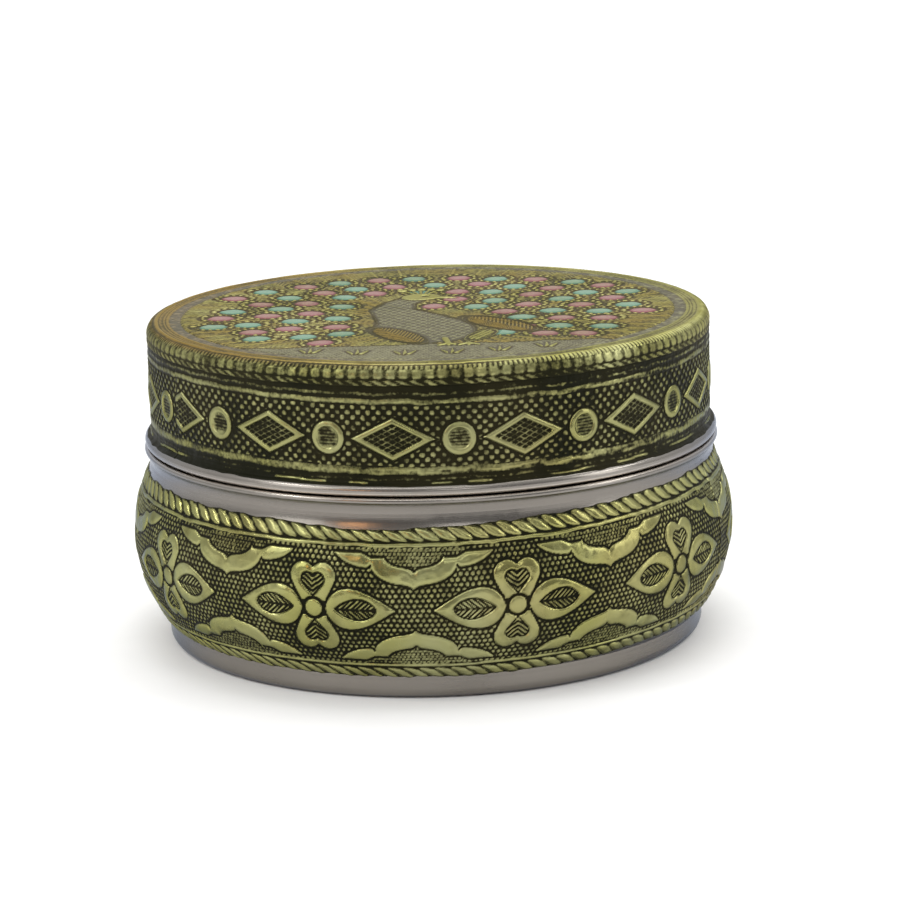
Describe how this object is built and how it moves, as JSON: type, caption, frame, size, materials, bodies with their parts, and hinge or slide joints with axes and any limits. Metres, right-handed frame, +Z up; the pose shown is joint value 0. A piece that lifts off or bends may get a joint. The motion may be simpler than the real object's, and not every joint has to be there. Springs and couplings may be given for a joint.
{
  "type": "spice box",
  "caption": "Round steel spice box with a lift-off lid, embossed foil cladding, loose cups, a flat inner plate and a spoon.",
  "frame": {"origin": "centre of the foot's underside, where the box stands", "axes": "+Z up along the box's axis, -Y is the side that the picture faces"},
  "size_m": [0.1903, 0.1904, 0.1014],
  "materials": {
    "steel": "satin lathe-turned stainless steel",
    "inside_steel": "bright spun stainless steel",
    "side_foil": "embossed foil, antique gold with dark recesses",
    "top_foil": "embossed foil, antique gold with turquoise and pink enamel"
  },
  "bodies": {
    "base": {"base_bowl": "steel", "base_foil_band": "side_foil"},
    "lid": {"lid_shell": "steel", "lid_side_foil": "side_foil", "lid_top_foil": "top_foil"},
    "plate": {"inner_plate": "inside_steel", "plate_knob": "inside_steel", "knob_rivet": "inside_steel"},
    "spoon": {"spoon": "inside_steel"},
    "cup_center_body": {"cup_center": "inside_steel"},
    "cup_1_body": {"cup_1": "inside_steel"},
    "cup_2_body": {"cup_2": "inside_steel"},
    "cup_3_body": {"cup_3": "inside_steel"},
    "cup_4_body": {"cup_4": "inside_steel"},
    "cup_5_body": {"cup_5": "inside_steel"},
    "cup_6_body": {"cup_6": "inside_steel"}
  },
  "joints": [
    {"name": "lid_lift", "type": "slide", "parent": "base", "child": "lid", "axis": [0, 0, 1], "range_m": [0, 0.2]},
    {"name": "plate_lift", "type": "slide", "parent": "base", "child": "plate", "axis": [0, 0, 1], "range_m": [0, 0.118]},
    {"name": "spoon_lift", "type": "slide", "parent": "base", "child": "spoon", "axis": [0, 0, 1], "range_m": [0, 0.128]},
    {"name": "cup_center_lift", "type": "slide", "parent": "base", "child": "cup_center_body", "axis": [0, 0, 1], "range_m": [0, 0.088]},
    {"name": "cup_1_lift", "type": "slide", "parent": "base", "child": "cup_1_body", "axis": [0, 0, 1], "range_m": [0, 0.088]},
    {"name": "cup_2_lift", "type": "slide", "parent": "base", "child": "cup_2_body", "axis": [0, 0, 1], "range_m": [0, 0.088]},
    {"name": "cup_3_lift", "type": "slide", "parent": "base", "child": "cup_3_body", "axis": [0, 0, 1], "range_m": [0, 0.088]},
    {"name": "cup_4_lift", "type": "slide", "parent": "base", "child": "cup_4_body", "axis": [0, 0, 1], "range_m": [0, 0.088]},
    {"name": "cup_5_lift", "type": "slide", "parent": "base", "child": "cup_5_body", "axis": [0, 0, 1], "range_m": [0, 0.088]},
    {"name": "cup_6_lift", "type": "slide", "parent": "base", "child": "cup_6_body", "axis": [0, 0, 1], "range_m": [0, 0.088]}
  ],
  "couplings": [
    {"joint": "plate_lift", "follows": "lid_lift", "ratio": 0.59},
    {"joint": "spoon_lift", "follows": "lid_lift", "ratio": 0.64},
    {"joint": "cup_center_lift", "follows": "lid_lift", "ratio": 0.44},
    {"joint": "cup_1_lift", "follows": "lid_lift", "ratio": 0.44},
    {"joint": "cup_2_lift", "follows": "lid_lift", "ratio": 0.44},
    {"joint": "cup_3_lift", "follows": "lid_lift", "ratio": 0.44},
    {"joint": "cup_4_lift", "follows": "lid_lift", "ratio": 0.44},
    {"joint": "cup_5_lift", "follows": "lid_lift", "ratio": 0.44},
    {"joint": "cup_6_lift", "follows": "lid_lift", "ratio": 0.44}
  ]
}
